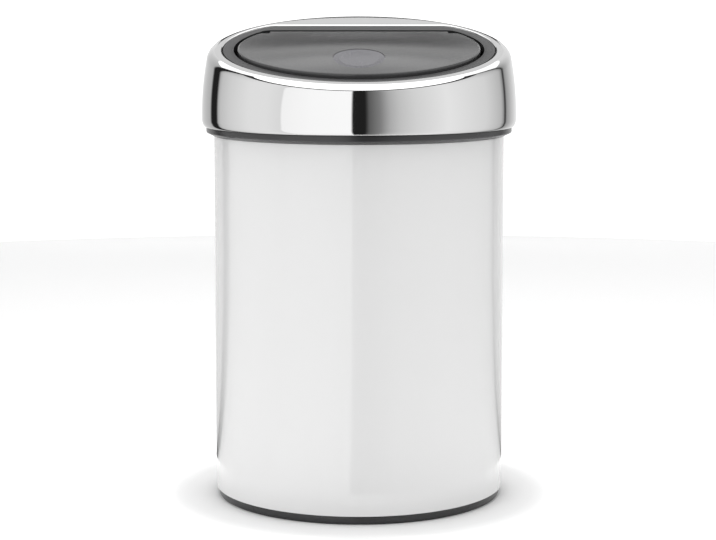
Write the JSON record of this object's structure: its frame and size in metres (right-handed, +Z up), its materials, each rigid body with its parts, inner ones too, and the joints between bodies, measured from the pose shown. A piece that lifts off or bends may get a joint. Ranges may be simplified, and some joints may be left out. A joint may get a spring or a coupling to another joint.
{
  "type": "push top countertop bin",
  "caption": "Round steel countertop bin with a sloping bright steel ring, a push-to-open hinged lid and a lift-out bucket with a wire handle.",
  "frame": {"origin": "centre of the base ring's underside", "axes": "+Z up, -Y to the front, +Y to the lid's hinge, X across"},
  "size_m": [0.1818, 0.1818, 0.2777],
  "materials": {
    "white_enamel": "gloss",
    "zinc_sheet": "satin",
    "polished_steel": "polished",
    "dark_plastic": "satin",
    "black_textured": "matte",
    "spot_plastic": "satin",
    "grey_plastic": "satin",
    "latch_plastic": "satin",
    "spring_steel": "satin",
    "screw_steel": "satin"
  },
  "bodies": {
    "bin_body": {"body_shell": "white_enamel", "bottom_plate": "zinc_sheet", "base_ring": "dark_plastic"},
    "bucket": {"inner_bucket": "grey_plastic"},
    "handle": {"bucket_handle": "spring_steel"},
    "lid_unit": {"collar_ring": "dark_plastic", "steel_ring": "polished_steel", "lid_frame": "dark_plastic", "hinge_axle": "spring_steel", "torsion_spring_right": "spring_steel", "torsion_spring_left": "spring_steel", "latch_housing": "latch_plastic", "latch_cover": "latch_plastic", "latch_screws": "screw_steel", "cam_follower": "spring_steel", "latch_spring": "spring_steel"},
    "lid": {"lid_panel": "black_textured", "lid_liner": "dark_plastic", "liner_screws": "screw_steel", "touch_disc": "spot_plastic", "striker": "latch_plastic"},
    "slider": {"latch_slider": "latch_plastic", "jaw_pins": "spring_steel"},
    "right_jaw": {"jaw_right": "latch_plastic"},
    "left_jaw": {"jaw_left": "latch_plastic"}
  },
  "joints": [
    {"name": "lid_unit_lift", "type": "slide", "parent": "bin_body", "child": "lid_unit", "axis": [0, 0, 1], "range_m": [0, 0.44]},
    {"name": "bucket_lift", "type": "slide", "parent": "bin_body", "child": "bucket", "axis": [0, 0, 1], "range_m": [0, 0.22]},
    {"name": "handle_swing", "type": "hinge", "parent": "bucket", "child": "handle", "pos_m": [0, 0, 0.1884], "axis": [-1, 0, 0], "range_deg": [0, 90]},
    {"name": "lid_hinge", "type": "hinge", "parent": "lid_unit", "child": "lid", "pos_m": [0, 0.04154, 0.2646], "axis": [-1, 0, 0], "range_deg": [-1.2, 80]},
    {"name": "latch_slide", "type": "slide", "parent": "lid_unit", "child": "slider", "axis": [0, -0.2096, 0.9778], "range_m": [-0.0022, 0.003], "stiffness_N_per_m": 200, "deforming": ["latch_spring"]},
    {"name": "right_jaw_turn", "type": "hinge", "parent": "slider", "child": "right_jaw", "pos_m": [0.0054, -0.05651, 0.22108], "axis": [0, 0.9778, 0.2096], "range_deg": [-5.5, 7.5]},
    {"name": "left_jaw_turn", "type": "hinge", "parent": "slider", "child": "left_jaw", "pos_m": [-0.0054, -0.05651, 0.22108], "axis": [0, -0.9778, -0.2096], "range_deg": [-5.5, 7.5]}
  ],
  "couplings": [
    {"joint": "bucket_lift", "follows": "lid_unit_lift", "ratio": 0.5},
    {"joint": "handle_swing", "follows": "lid_unit_lift", "rad_per_m": 3.5699},
    {"joint": "right_jaw_turn", "follows": "latch_slide", "rad_per_m": 43.633},
    {"joint": "left_jaw_turn", "follows": "latch_slide", "rad_per_m": 43.633}
  ]
}
